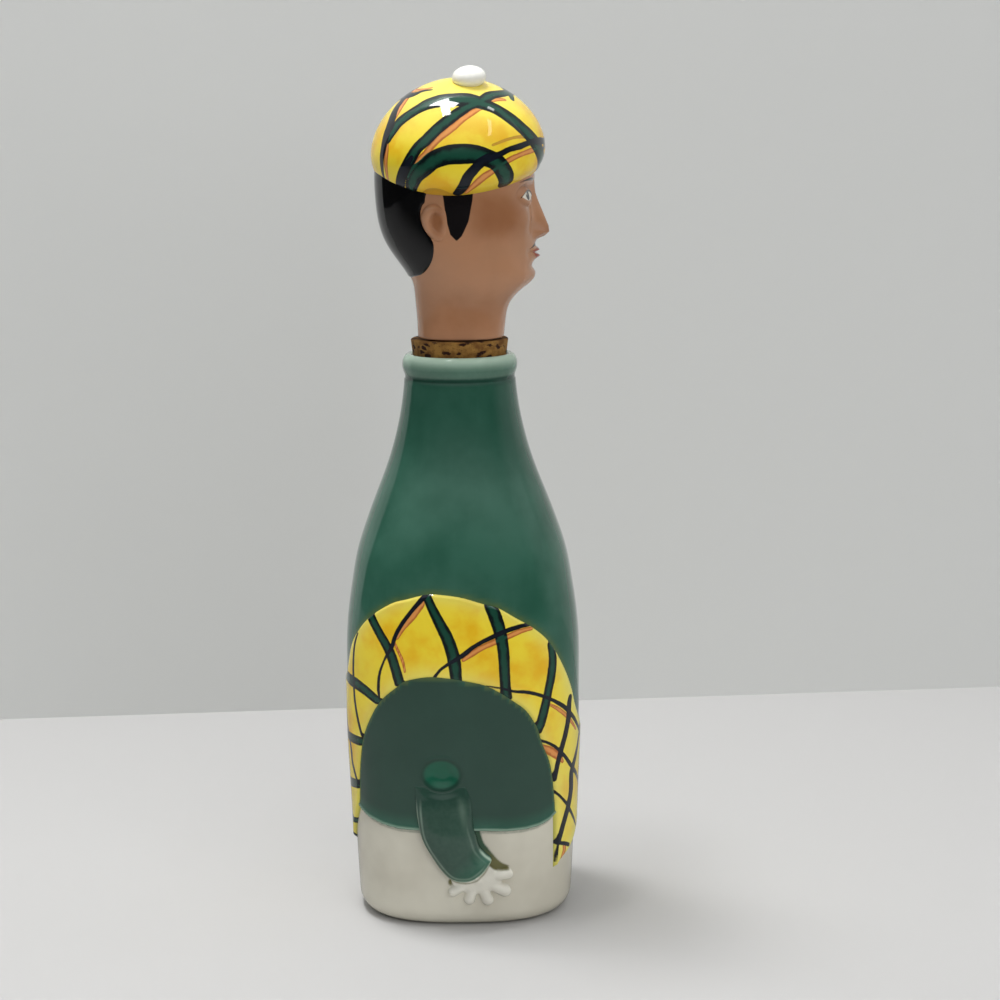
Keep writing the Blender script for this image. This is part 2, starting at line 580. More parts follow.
# Strokes on the cap: glaze, then degrees round from the front, millimetres down from the top and half width
CAP_STROKES = (
    ("gold", (64, 32.4, 0.4), (54, 31.8, 0.5), (45, 31.8, 0.5), (36, 32.4, 0.7)),
    ("gold", (116, 47, 1), (110, 46.5, 2.4), (104, 47, 2.6), (98, 48, 1.4)),
    ("orange", (-140, 8, 0.5), (-166, 10.7, 0.9), (178, 12.6, 1.1), (163, 15.6, 1.3), (154, 20, 1.3), (151, 24, 1.1),
     (148, 28, 0.8)),
    ("orange", (144, 31, 0.6), (143, 33.6, 1), (143, 36.9, 1), (143, 39.6, 0.8), (144, 42.3, 0.5)),
    ("navy", (-132, 9, 0.4), (-151, 10.4, 0.8), (-160, 12.9, 1.4), (176, 15.7, 1.8), (162, 20.4, 1.8), (153, 24.1, 2),
     (150, 28.1, 1.9), (148, 31.8, 1.7), (148, 35.3, 1.4), (148, 38.8, 1), (149, 43, 0.6)),
    ("green", (145, 29.5, 1.6), (143, 26.8, 1.9), (141, 23.5, 2.3), (135, 20.7, 2.2), (127, 17.9, 2.3),
     (118, 15.7, 2.7), (103, 14.3, 3), (86, 14.3, 3.1), (70, 15, 3.1), (59, 17.2, 2.9), (50, 20, 2.5),
     (44, 22.8, 2.5), (38, 26.8, 2.6), (33, 30.6, 2.6), (27, 34.8, 2.9), (19, 40.3, 3), (13, 44, 2.8), (9, 47, 2.3)),
    ("green", (135, 45, 1.7), (129, 40.3, 1.8), (125, 37.4, 1.8), (121, 34.8, 2), (116, 31.2, 1.9), (110, 28.7, 2),
     (103, 25.5, 2), (95, 22.8, 2), (84, 20, 1.9), (71, 17.9, 1.7), (56, 17, 1.8), (39, 15.7, 1.9), (22, 16.5, 1.8),
     (0, 18.6, 1.6), (-14, 20.5, 0.9)),
    ("navy", (136, 46, 1.4), (129, 40.3, 1.5), (125, 37.4, 1.3), (120, 34.2, 0.8)),
    ("orange", (61, 19.8, 0.6), (68, 20.2, 1), (81, 22.4, 1.2), (90, 25, 1.3), (99, 27.8, 1.2), (105, 30.3, 1.1),
     (109, 32.6, 1.1), (115, 35.2, 1), (120, 37.9, 0.8), (124, 40.6, 0.5)),
    ("orange", (44, 17.9, 0.6), (34, 18.1, 0.9), (26, 19.3, 0.6)),
    ("green", (125, 45, 1.9), (122, 42.6, 2.2), (117, 39.3, 2.6), (110, 36.9, 2.7), (104, 34.8, 2.8), (95, 33.6, 3),
     (86, 33.6, 3.1), (77, 34.2, 2.9), (69, 35.9, 2.7), (63, 37.9, 2.7), (59, 40.7, 2.8), (56, 43.5, 2.8),
     (55, 45.6, 2.8)),
    ("orange", (24, 37.6, 0.6), (32, 37.3, 0.9), (42, 37.2, 0.8), (51, 37.6, 0.9), (60, 38.6, 1), (67, 40.2, 1.1),
     (73, 41.6, 1.3), (78, 43.6, 1.3), (82, 45.6, 1), (85, 47.6, 0.6)),
    ("navy", (91, 47.4, 1.6), (86, 43.5, 1.8), (83, 40.7, 1.7), (78, 38.4, 1.6), (74, 36.9, 1.6), (68, 35.9, 1.4),
     (61, 35.6, 1), (53, 34.8, 0.9), (43, 34.8, 1), (32, 34.8, 0.9), (19, 35.9, 1.2), (5, 37.5, 1), (-14, 39, 0.7)),
)


def with_strokes(values, strokes, lay):
    """Adds to painted values each glaze's depth inside its strokes, in millimetres, and how near a stroke's heart."""
    count = len(next(iter(values.values())))
    for key in GLAZES:
        values[key] = np.full(count, -3.0)
    values["heart"] = np.zeros(count)
    for key, *points in strokes:
        away, half = lay(points)
        values[key] = np.maximum(values[key], half - away)
        values["heart"] = np.maximum(values["heart"], 1 - away / half)
    return values


def beside(here, line, values):
    """How far each place lies from a line, and each of the line's values at the nearest point."""
    away, share = nearest_on(here, line)
    steps = np.linspace(0.0, 1.0, len(line))
    return away, *[np.interp(share, steps, value) for value in values]


def along_side(way, height):
    """Gives the shawl's strokes: how far each place lies from a line, and the line's half width there."""
    here = np.stack([unrolled(way), height], axis=1)

    def lay(points):
        table = np.array(points, dtype=float)
        line = flowing(np.column_stack([on_side(table[:, :2]), table[:, 2]]), 5)
        return beside(here, line[:, :2], [line[:, 2]])

    return lay


def along_cap(here):
    """Gives the cap's strokes, the same on both sides, measured straight through the air."""

    def lay(points):
        table = np.array(points, dtype=float)
        table[:, 0] = np.degrees(np.unwrap(np.radians(table[:, 0])))
        line = flowing(table, 5)
        best, half = np.full(len(here), 1e9), np.ones(len(here))
        for sign in (1, -1):
            away, wide = beside(here, cap_place(sign * line[:, 0], line[:, 1]), [line[:, 2]])
            half = np.where(away < best, wide, half)
            best = np.minimum(away, best)
        return best, half

    return lay


def shawl_depth(angle, z):
    """Distance inside the shawl's own edges, in millimetres along the surface."""
    u = unrolled(angle)
    return np.minimum(inside_outline(u, z, SHAWL_OUTLINE), -inside_outline(u, z, WINDOW_OUTLINE))


def hem_height(angle, z):
    """Distance above the coat's hem."""
    return z - np.interp(unrolled(angle), HEM[:, 0], HEM[:, 1])


def round_points(angle, radius, z):
    """Places round the upright, from angle, radius and height."""
    return np.stack([radius * np.cos(angle), radius * np.sin(angle), z], axis=1)


def round_and_up(points):
    """Angle and height of places on the bottle."""
    return np.arctan2(points[:, 1], points[:, 0]), points[:, 2]


# The middle of the arm from the shoulder to the cuff: degrees round from the front, height
ARM_LINE = ((103.6, 50.5), (101.7, 43.5), (100.4, 37.5), (97.6, 31.5), (92.6, 26), (86.8, 22), (83, 20))
# The arm's own outline
ARM_OUTLINE = (
    (112, 54.5), (115.6, 50.5), (116.3, 47), (116.2, 42.4), (115.3, 36.7), (113.1, 30.3), (107.9, 24.2),
    (101.8, 18.9), (96.6, 16.4), (90.7, 15.7), (85, 16.2), (79.4, 18.5), (75.6, 21.4), (74.3, 23.6), (77.4, 25.2),
    (81, 27.8), (82.6, 31), (84.3, 34.5), (84.9, 39.3), (86.1, 44.2), (89, 48), (92, 53), (102, 57.5),
)
# The thumb-print hollow: its middle, in degrees and height, and its half sizes
DIMPLE = ((102.0, 51.5), (6.4, 5.2))
# Where glaze ran down beside the sleeve onto the white
RUN_OUTLINE = (
    (90, 34.5), (81.8, 34), (80.2, 31.6), (78.4, 28.7), (74.8, 25.9), (71.4, 23.4), (68.2, 21.7), (64.4, 20.6),
    (65.5, 19.9), (69.3, 19.6), (72.5, 19.8), (75.5, 21.3), (82, 27),
)
SPOT = (98.2, 15.6)  # one drop of it under the elbow
ARM_HALF = 7.6  # the arm's half width, over which its roundness is measured
ARM_MIDDLE = flowing(on_side(ARM_LINE), 5)
ARM_EDGE = flowing(on_side(ARM_OUTLINE), 3)
RUN_EDGE = flowing(on_side(RUN_OUTLINE), 3)


def arm_places(angle, z):
    """Across the arm, 0 in its middle and 1 at its outline, and along it as a share of its length."""
    share = nearest_on(np.stack([unrolled(angle), z], axis=1), ARM_MIDDLE)[1]
    return 1 - inside_outline(unrolled(angle), z, ARM_EDGE) / ARM_HALF, share


def dimple_share(angle, z):
    """0 at the middle of the thumb-print hollow, 1 at its rim."""
    u0, z0 = on_side(DIMPLE[:1])[0]
    return np.hypot((unrolled(angle) - u0) / DIMPLE[1][0], (z - z0) / DIMPLE[1][1])


# Pieces


def make_shell():
    """The hollow bottle: foot, heel, outside, mouth, inside and floor as one closed skin."""
    outside = [(0.0, 1.4, -4.5, s, 0.0) for s in (0.0, 0.5, 0.97, 1.0)]
    outside += [(0.0, z, out, 1.0, 0.0) for z, out in ((1.0, -4.5), (0.3, -4.4), (0.0, -4.0), (0.0, -0.5))]
    outside += [(HEEL * (1 - math.cos(t)),) * 2 + (0.0, 1.0, 0.0) for t in np.linspace(0.0, math.pi / 2, 12)]
    outside += [(z, z, 0.0, 1.0, 0.0) for z in np.arange(HEEL + 0.6, 50.0, 0.5)]
    outside += [(z, z, 0.0, 1.0, 0.0) for z in np.arange(50.0, RIM - 1.0, 3.2)]
    seat_top = rim_seat(RIM)
    rim = [(0, RIM - down, 0, 0, r) for r, down in ((16.2, 0.7), (seat_top + 0.4, 0.6), (seat_top, 0.8))]
    seat = [(0, z, 0, 0, rim_seat(z)) for z in np.linspace(RIM - 1.5, RIM - 9.5, 10)]
    throat = [(0, RIM - 10.5, 0, 0, 13.4), (0, RIM - 12.5, 0, 0, 13.1)]
    bend_top = FLOOR_TOP + HEEL
    inside = [(z, z, -WALL, 1.0, 0.0) for z in np.linspace(RIM - 17.0, bend_top, 55)]
    bend = [(HEEL * math.sin(t), HEEL * (1 - math.cos(t))) for t in np.linspace(0.2, math.pi / 2, 8)]
    corner = [(bend_top, bend_top - down, -WALL - back, 1.0, 0.0) for down, back in bend]
    floor = [(bend_top, FLOOR_TOP, -WALL - HEEL, s, 0.0) for s in (0.66, 0.33, 0.0)]
    rows = np.array(outside + rim + seat + throat + inside + corner + floor)
    bm, angle, up = turned(len(rows), 400)
    index = np.rint(up * (len(rows) - 1)).astype(int)
    reach_z, z, out, share, fixed = rows[index].T
    covered = (index < len(outside)) * (z > HEEL)
    under_coat = 0.8 * ease((hem_height(angle, z) - 1.2) / 1.5)
    under_dimple = 1.6 * ease((1.25 - dimple_share(angle, z)) / 0.4)
    out = out - covered * (under_coat + under_dimple)
    radius = np.where(fixed > 0, fixed, share * bottle_radius(angle, reach_z, out))
    press(bm, round_points(angle, radius, z))
    face_out(bm)

    def paint(points):
        way, height = round_and_up(points)
        u, over = unrolled(way), hem_height(way, height)
        inside_run = inside_outline(u, height, RUN_EDGE)
        u0, z0 = on_side([SPOT])[0]
        spot = 0.7 - np.hypot(u - u0, (height - z0) * 0.7)
        across, along = arm_places(way, height)
        by_arm = 0.32 * hump(across, 1.03, 0.04) * ease((along - 0.3) / 0.3)
        under_hem = 0.45 * hump(over, -0.2, 0.6)
        run = ease((np.maximum(inside_run, spot) + 0.7) / 1.3)
        return {"run": np.maximum.reduce([run, by_arm, under_hem]), "green_run": ease((height - 22.0) / 6.0)}

    finish_piece("bottle_cast", bm, "bottle", "white_glaze", ["bottle_shell"], paint)


# The lip's rolled section: radius, height
LIP_ROWS = (
    (17.45, 173.4), (17.5, 174.2), (17.7, 174.9), (18, 175.7), (18.25, 176.7), (18.3, 177.8), (18.15, 178.9),
    (17.8, 179.8), (17.3, 180.5), (16.7, 180.9), (16.2, 181), (15.6, 180.9), (15.15, 180.5), (15, 179.9),
)


def make_coat():
    """The coat: a raised skin with a beaded hem, a thumb-print hollow at each shoulder and a rolled lip."""
    look = bpy.context.scene.decanter
    heights = list(np.arange(29.0, 62.0, 0.4)) + list(np.arange(62.0, LIP_ROOT - 1.5, 1.5))
    rows = np.array([(z, 0.0) for z in heights] + [(z, r) for r, z in LIP_ROWS])
    bm, angle, up = turned(len(rows), 480)
    z, fixed = rows[np.rint(up * (len(rows) - 1)).astype(int)].T
    hem = hem_height(angle, z)
    raised = look.coat_relief / MM
    out = -1.2 + (1.2 + raised) * ease((hem + 0.2) / 0.8) + 0.3 * hump(hem, 0.8, 0.55)
    pressed = dimple_share(angle, z)
    out = out - 1.5 * ease((1.06 - pressed) / 0.75) + 0.10 * hump(pressed, 1.1, 0.1)
    radius = np.where(fixed > 0, fixed, bottle_radius(angle, z, out))
    press(bm, round_points(angle, radius, z))
    trim(bm, hem, -0.9)
    face_out(bm)

    def paint(points):
        way, height = round_and_up(points)
        over, deep = hem_height(way, height), dimple_share(way, height)
        window = inside_outline(unrolled(way), height, WINDOW_OUTLINE)
        outside = np.clip(-shawl_depth(way, height), 0.0, None)
        on_lip = (0.15 + 0.85 * ease((height - LIP_ROOT - 1.9) / 4.5)) * (height > LIP_ROOT)
        pooled = 0.9 * hump(over, 0.1, 0.35) + 0.45 * hump(deep, 0.95, 0.10) + 0.8 * hump(height, LIP_ROOT - 0.7, 0.8)
        shaded = 0.3 * ease((height - 135.0) / 25.0) * (height < LIP_ROOT - 0.6)
        return {
            "pale": 0.6 * hump(over, 0.95, 0.4) + on_lip,
            "pool": np.clip(pooled + shaded, 0, 1),
            "dull": 0.8 * ease((window + 0.2) / 0.8) * ease((over - 0.5) / 6.0) * (height < PANEL_TOP),
            "fresh": ease((1.0 - deep) / 0.25),
            "bleed": 0.45 * np.exp(-outside / 0.6) * (window < 0),
        }

    finish_piece("coat_glazed", bm, "bottle", "green_glaze", ["coat"], paint)


def make_shawl():
    """The raised shawl that goes round the body, with a window on each side, and its brushed strokes."""
    look = bpy.context.scene.decanter
    bm, angle, up = turned(200, 440)
    z = SHAWL_SPAN[0] + (SHAWL_SPAN[1] - SHAWL_SPAN[0]) * up
    depth = shawl_depth(angle, z)
    out = -0.8 + (0.8 + look.shawl_relief / MM) * ease((depth + 0.5) / 1.5)
    press(bm, round_points(angle, bottle_radius(angle, z, out), z))
    trim(bm, depth, -1.2)
    face_out(bm)

    def paint(points):
        way, height = round_and_up(points)
        edge = np.clip(shawl_depth(way, height), 0.0, None)
        values = {
            "rim": 0.85 * np.exp(-edge / 0.35),
            "lemon": 0.65 * np.exp(-((edge / 3.6) ** 2)) + 0.35 * ease((50.0 - np.degrees(np.abs(way))) / 20.0),
        }
        return with_strokes(values, SHAWL_STROKES, along_side(way, height))

    finish_piece("shawl_glazed", bm, "bottle", "tartan_glaze", ["shawl"], paint)


def side_patch(columns, rows, low, high, side):
    """A patch of the bottle's side between two corners given in degrees and height; returns it with its places."""
    bm = patch(columns, rows)
    unit = places(bm)
    (u0, z0), (u1, z1) = on_side([low, high])
    u, z = u0 + (u1 - u0) * (unit[:, 0] + 1) / 2, z0 + (z1 - z0) * (unit[:, 2] + 1) / 2
    return bm, side * np.interp(u, ROUND_LENGTH, ROUND_STEPS), z


def make_sleeve(side, name):
    """One arm in relief: it swells out under the hollow, is full at the elbow and ends in a rolled cuff."""
    look = bpy.context.scene.decanter
    bm, angle, z = side_patch(130, 170, (66.0, 10.0), (126.0, 60.0), side)
    across, along = arm_places(angle, z)
    full = (1 - np.clip(across, 0, 1) ** 2.3) ** 0.62
    pressed = dimple_share(angle, z)
    swell = (0.10 + 0.90 * ease((along - 0.02) / 0.55)) * ease((pressed - 1.0) / 0.6)
    height = look.sleeve_relief / MM * swell * full
    out = look.coat_relief / MM + 0.02 + height - 2.2 * ease((across - 0.99) / 0.1)
    out = out - 2.0 * ease((1.12 - pressed) / 0.12) - 1.2 * ease((z - 47.0) / 2.5)
    press(bm, round_points(angle, bottle_radius(angle, z, out), z))
    trim(bm, -across, -1.2)
    face_out(bm, (0, 0, 0.03))

    def paint(points):
        way, up = round_and_up(points)
        q, share = arm_places(way, up)
        middle = on_side([(100.0, 0.0)])[0][0] - 4.0 - 10.0 * np.clip(share, 0, 1)
        back = ease((unrolled(way) - middle) / 4.0)
        streaks = 0.6 * hump(q, 0.93, 0.04) + 0.35 * hump(q, 0.74, 0.06)
        soft = 0.22 * hump(q, 0.55, 0.16) * (1 - back)
        cuff = 1.0 * hump(q, 0.93, 0.05) * ease((share - 0.72) / 0.12)
        low = ease((share - 0.1) / 0.2)
        return {
            "pale": np.clip(np.maximum.reduce([streaks * back * low, (soft + 0.06) * low, cuff]), 0, 1),
            "pool": 0.5 * hump(q, 1.03, 0.05),
            "dull": 0.8 * (1 - ease((share - 0.7) / 0.3)),
            "fresh": 0.35 * ease((share - 0.7) / 0.3),
        }

    finish_piece(f"{name}_sleeve_glazed", bm, "bottle", "green_glaze", [f"{name}_sleeve"], paint)


# Finger tips: degrees round from the front, height, and the finger's half width
FINGERS = (((96.3, 12.6), 1.8), ((87.0, 10.0), 2.0), ((76.3, 9.8), 2.1), ((66.8, 12.6), 2.2), ((65.6, 18.3), 2.0))
PALM = (82.5, 16.6)
PALM_SIZE = (8.6, 5.2)


def make_hand(side, name):
    """One open hand in relief: a low palm and five short, fat, spread fingers."""
    look = bpy.context.scene.decanter
    bm, angle, z = side_patch(130, 100, (54.0, 4.0), (106.0, 27.0), side)
    u = unrolled(angle)
    u0, z0 = on_side([PALM])[0]
    reach = ((u - u0) / PALM_SIZE[0]) ** 2 + ((z - z0) / PALM_SIZE[1]) ** 2
    height = 0.75 * np.sqrt(np.clip(1 - reach, 0, 1))
    for tip, radius in FINGERS:
        end = on_side([tip])[0]
        away, share = nearest_on(np.stack([u, z], axis=1), np.array([(u0, z0), end]))
        size = radius * (0.62 + 0.38 * share)
        finger = np.clip(1 - (away / size) ** 2, 0, 1) ** 0.6 * (0.35 + 0.65 * ease((share - 0.3) / 0.6))
        height = np.maximum(height, finger) + 0.15 * np.minimum(height, finger)
    height = height * look.hand_relief / MM
    out = np.where(height > 0.02, height, -0.5)
    press(bm, round_points(angle, bottle_radius(angle, z, out), z))
    soften(bm, 2)
    trim(bm, out, -0.2)
    face_out(bm, (0, 0, 0.03))

    def paint(points):
        way, up = round_and_up(points)
        q = arm_places(way, up)[0]
        inside_run = inside_outline(unrolled(way), up, RUN_EDGE)
        run = np.maximum(ease((inside_run + 0.7) / 1.3), 0.6 * hump(q, 1.0, 0.05))
        return {"run": run, "clean": np.full(len(points), 0.35)}

    finish_piece(f"{name}_hand_glazed", bm, "bottle", "white_glaze", [f"{name}_hand"], paint)


# The middle of the nose: up from the neck, and how far it stands out
NOSE_RIDGE = (
    (29.4, 0), (30.4, 0.9), (31.4, 3.4), (32.8, 5), (34.6, 5), (38, 3.7), (41.5, 2.3), (45, 1.1), (49, 0.3),
)
EYE = (8.2, 44.2)  # across and up
MOUTH = 26.4


def lip_places(side, h):
    """Distance inside the upper and the lower lip."""
    line = MOUTH + 0.014 * side**2
    upper = line + 1.75 * np.clip(1 - (side / 6.4) ** 2, 0, 1) ** 0.8 - 0.35 * hump(side, 0.0, 0.9)
    lower = line - 2.1 * np.sqrt(np.clip(1 - (side / 5.6) ** 2, 0, 1))
    past = np.clip(side - 5.6, 0, None)
    return np.minimum(upper - h, h - line) - past, np.minimum(line - h, h - lower) - past


# Soft swellings and hollows of the face: how far out, then middle and size across and up
FACE_SWELLS = (
    (1.5, (3.3, 32.8), (1.5, 1.6)),  # wing of the nose
    (-0.9, (1.7, 31.2), (1.0, 0.7)),  # nostril
    (-2.3, (7.8, 45.0), (5.0, 3.6)),  # socket
    (1.0, (8.5, 50.0), (7.0, 2.2)),  # brow
    (1.0, (11.5, 37.0), (5.0, 4.5)),  # cheek
    (-0.7, (13.0, 27.0), (4.5, 6.0)),  # hollow of the cheek
    (1.5, (0.0, 26.5), (8.5, 5.5)),  # mouth
    (-0.4, (0.0, 30.0), (0.9, 1.5)),  # groove over the lip
    (-0.6, (7.4, 26.6), (1.3, 1.6)),  # corner of the mouth
    (-0.9, (0.0, 22.4), (5.5, 1.5)),  # hollow under the lip
    (1.3, (0.0, 18.6), (5.2, 3.4)),  # chin
)


def face_push(y, h):
    """How far a calm, plain face stands out from the bare head at each place across and up."""
    side = np.abs(y)
    ridge = np.interp(h, *np.array(NOSE_RIDGE).T)
    width = np.interp(h, (30.0, 33.0, 36.0, 41.0, 46.0), (2.7, 3.1, 2.5, 2.1, 2.5))
    push = ridge * np.exp(-((side / width) ** 2.2))
    push = push + sum(out * bump(side, h, middle, size) for out, middle, size in FACE_SWELLS)
    push = push + 1.9 * dome(side, h, EYE, (4.6, 3.0))
    lid = h - (EYE[1] + 2.0 - 0.11 * (side - EYE[0]) ** 2)
    near_eye = ease((5.4 - np.abs(side - EYE[0])) / 1.5)
    push = push + (0.45 * hump(lid, -0.1, 0.45) - 0.45 * hump(lid, 1.1, 0.4)) * near_eye
    under = h - (EYE[1] - 1.9 + 0.08 * (side - EYE[0]) ** 2)
    push = push + 0.3 * hump(under, -0.2, 0.45) * near_eye
    upper, lower = lip_places(side, h)
    push = push + 1.2 * ease((upper + 0.5) / 1.5) + 1.4 * ease((lower + 0.5) / 1.7)
    fold = hump(h, MOUTH + 0.014 * side**2, 0.4) * ease((7.0 - side) / 1.2)
    return push - 0.8 * fold


def make_head():
    """The head casting: peg, neck, jaw and face, closed over under the cap."""
    heights = list(np.linspace(0.4, 14.0, 26)) + list(np.arange(14.3, 55.0, 0.33)) + [55.5, 56.0]
    inner = [(-8.0, 0.0), (-8.0, 2.0), (-8.0, 3.6), (-12.0, 3.6), (-21.0, 3.6), (-21.0, 3.7), (-21.0, 6.7)]
    inner += [(-20.9, 6.8), (-6.0, 6.8), (0.0, 6.8), (0.0, 6.9)]
    rows = np.array(
        [(h, r, 1.0) for h, r in inner]
        + [(0.0, 0.0, 0.96), (0.05, 0.0, 0.985)]
        + [(h, 0.0, 1.0) for h in heights]
        + [(56.4, 0.0, 0.93), (56.5, 0.0, 0.5), (56.5, 0.0, 0.0)]
    )
    bm, angle, up = turned(len(rows), 320)
    # More of the tube's steps come to the face
    angle = angle - 0.5 * np.sin(angle)
    h, fixed, share = rows[np.rint(up * (len(rows) - 1)).astype(int)].T
    points = head_points(angle, np.clip(h, 0, 56))
    front = ease((points[:, 0] - 2.0) / 9.0) * (fixed == 0) * ease((h - 12.5) / 4.0) * (h < 56.1)
    points[:, 0] += face_push(points[:, 1], h) * front
    points[:, :2] *= share[:, None]
    points[:, 2] = HEAD_Z + h
    straight = fixed > 0
    points[straight] = round_points(angle, fixed, HEAD_Z + h)[straight]
    points[(fixed == 0) & (h < 0), :2] = 0.0
    press(bm, points)
    face_out(bm, (0, 0, 0.22))

    def paint(p):
        x, y, up = p[:, 0], p[:, 1], p[:, 2] - HEAD_Z
        side, ahead = np.abs(y), x > 6
        around = np.degrees(np.arctan2(side, x))
        cheek = 0.7 * bump(around, up, (54.0, 38.5), (30.0, 7.5), 3.0)
        neck = 0.42 * bump(around, up, (75.0, 8.0), (65.0, 7.5), 3.0)
        nose_and_lids = 0.5 * bump(side, up, (0.0, 33.5), (4.5, 3.0)) + 0.35 * bump(side, up, (8.2, 47.5), (5.0, 1.8))
        upper, lower = lip_places(side, up)
        off = side - EYE[0]
        lid = EYE[1] + 1.75 - 0.115 * off**2
        sclera = np.minimum(lid - up, up - (EYE[1] - 1.5 + 0.085 * off**2))
        iris = np.minimum(1.55 - np.hypot(off, up - EYE[1] - 0.1), sclera + 0.1)
        glint = 0.35 - np.hypot(off - 0.5, up - EYE[1] - 0.7)
        lash = np.where(np.abs(off - 0.3) < 4.3, 0.34 - np.abs(up - lid), -1)
        brow = 0.62 - 0.07 * np.abs(off + 0.5) - np.abs(up - (EYE[1] + 5.2 - 0.030 * (off + 0.6) ** 2))
        brow = np.where(np.abs(off) < 5.0, brow, -1)
        tash = 0.85 - 0.09 * side - np.abs(up - (29.3 - 0.032 * side**2))
        tash = np.where((side < 7.4) & (side > 0.4), tash, -1)
        wedge = inside_outline(x, up, np.array(SIDEBURN))
        dark = np.maximum.reduce([np.where(glint > 0, -1, iris), lash, brow, tash])
        return {
            "blush": cheek + neck + nose_and_lids * ahead,
            "lip": np.where(ahead, np.maximum(upper, lower), -1),
            "sclera": np.where(ahead, sclera, -1),
            "dark": np.maximum(np.where(ahead, dark, -1), np.where(side > 10, wedge, -1)),
        }

    finish_piece("head_glazed", bm, "stopper", "skin_glaze", ["head"], paint)


# The painted side whiskers: forward of the head's axis, and up from the neck
SIDEBURN = (
    (-5.4, 50), (5.4, 50), (5, 43.7), (3.7, 37.1), (1.6, 32.6), (-0.2, 30.9), (-2.2, 33), (-3.5, 38), (-4.2, 44.2),
)
# The hair from the side: forward of the head's axis, and up from the neck
HAIR_OUTLINE = (
    (-40, 60), (-9, 60), (-9.3, 44.4), (-10.3, 41.9), (-10.9, 39.4), (-10.1, 36.3), (-8, 32.5), (-7, 29.9),
    (-7.3, 26.1), (-8.6, 23.1), (-10.8, 20.6), (-13.7, 19.4), (-17, 18.6), (-40, 17),
)
HAIR_SPAN = (14.0, 55.0)


def make_hair():
    """The hair: a thin raised skin over the back of the head."""
    look = bpy.context.scene.decanter
    bm, angle, up = turned(150, 320)
    h = HAIR_SPAN[0] + (HAIR_SPAN[1] - HAIR_SPAN[0]) * up
    points = head_points(angle, h)
    depth = inside_outline(points[:, 0], h, flowing(np.array(HAIR_OUTLINE), 4))
    press(bm, head_points(angle, h, -0.7 + (0.7 + look.hair_relief / MM) * ease((depth + 0.25) / 0.9)))
    trim(bm, depth, -0.8)
    face_out(bm, (0, 0, 0.22))
    finish_piece("hair_glazed", bm, "stopper", "black_glaze", ["hair"])


# The ear's rolled rim, from its root over the top and down to the lobe: forward, up, half width, height
EAR_RIM = (
    (-4.9, 39.7, 1.2, 1.4), (-6.6, 40.8, 1.6, 2.5), (-8.3, 40.3, 1.8, 2.8), (-9.4, 38.5, 1.7, 2.7),
    (-9.3, 36.4, 1.5, 2.3), (-8.4, 34.7, 1.5, 1.9), (-7, 33.3, 1.6, 1.6), (-5.5, 32.4, 1.5, 1.2),
)


def make_ear(side, name):
    """One small ear: a rolled rim round a hollow, running out into the lobe."""
    bm = patch(60, 84)
    unit = places(bm)
    x, h = -7.2 + 5.2 * unit[:, 0], 37.0 + 7.6 * unit[:, 2]
    line = flowing(EAR_RIM, 5)
    away, size, rise = beside(np.stack([x, h], axis=1), line[:, :2], line[:, 2:].T)
    height = rise * np.sqrt(np.clip(1 - (away / size) ** 2, 0, 1))
    bowl = 1.0 * bump(x, h, (-6.4, 36.8), (3.2, 4.8), 4.0) + 0.7 * bump(x, h, (-4.2, 36.6), (0.9, 1.6))
    height = np.maximum(height, bowl) - 0.4
    half = (HEAD_FRONT(h) + HEAD_BACK(h)) / 2
    centre = (HEAD_FRONT(h) - HEAD_BACK(h)) / 2
    skin = HEAD_SIDE(h) * (1 - np.abs((x - centre) / half) ** HEAD_ROUND) ** (1 / HEAD_ROUND)
    press(bm, np.stack([x, side * (skin + height), HEAD_Z + h], axis=1))
    soften(bm)
    trim(bm, height, -0.3)
    face_out(bm, (0, 0, 0.22))

    def paint(p):
        deep = bump(p[:, 0], p[:, 2] - HEAD_Z, (-5.9, 37.2), (1.9, 4.2))
        return {"blush": 1.1 * deep}

    finish_piece(f"{name}_ear_glazed", bm, "stopper", "skin_glaze", [f"{name}_ear"], paint)


def cap_profile(t):
    """The cap's own section: 0 at the top, 1 at its widest ring, 2 at the end of its skirt."""
    up, down = np.clip(t, 0, 1) * math.pi / 2, np.clip(t - 1, 0, 1) * math.pi / 2
    top, low = (2 / power for power in CAP_POWERS)
    dome_r, dome_z = CAP_RADIUS * np.sin(up) ** top, CAP_RISE * np.cos(up) ** top
    skirt_r, skirt_z = CAP_RADIUS * np.cos(down) ** low, -CAP_DROP * np.sin(down) ** low
    return np.where(t <= 1, dome_r, skirt_r), np.where(t <= 1, dome_z, skirt_z)


# Front up, then right side down
CAP_SIDE, CAP_FRONT = np.radians(CAP_TILTS)
CAP_TURN = np.array(Euler((CAP_SIDE, 0, 0)).to_matrix() @ Euler((0, CAP_FRONT, 0)).to_matrix())


def tipped_cap(points):
    """The cap's own places, tipped and put on the head."""
    return points @ CAP_TURN.T + np.array(CAP_MIDDLE)


CAP_ARC_T = np.linspace(0.0, 1.8, 400)
CAP_ARC = np.concatenate([[0.0], np.cumsum(np.hypot(*np.diff(cap_profile(CAP_ARC_T))))])
# Height of the cap's edge over its widest ring, from the back to the front, before it is tipped to the side
CAP_EDGE = smooth_curve((
    (-34, -6.6), (-25.6, -6.8), (-14, -8.9), (-3, -10.2), (6, -11), (13, -10.2), (19, -7.6), (25, -4.4), (34, -4.4),
))


def cap_place(degrees, down):
    """A place on the cap, from degrees round from the front and millimetres down from the top."""
    angle, t = np.radians(np.asarray(degrees, float)), np.interp(down, CAP_ARC, CAP_ARC_T)
    r, z = cap_profile(t)
    return tipped_cap(np.stack([r * np.cos(angle), -r * np.sin(angle), z], axis=-1))


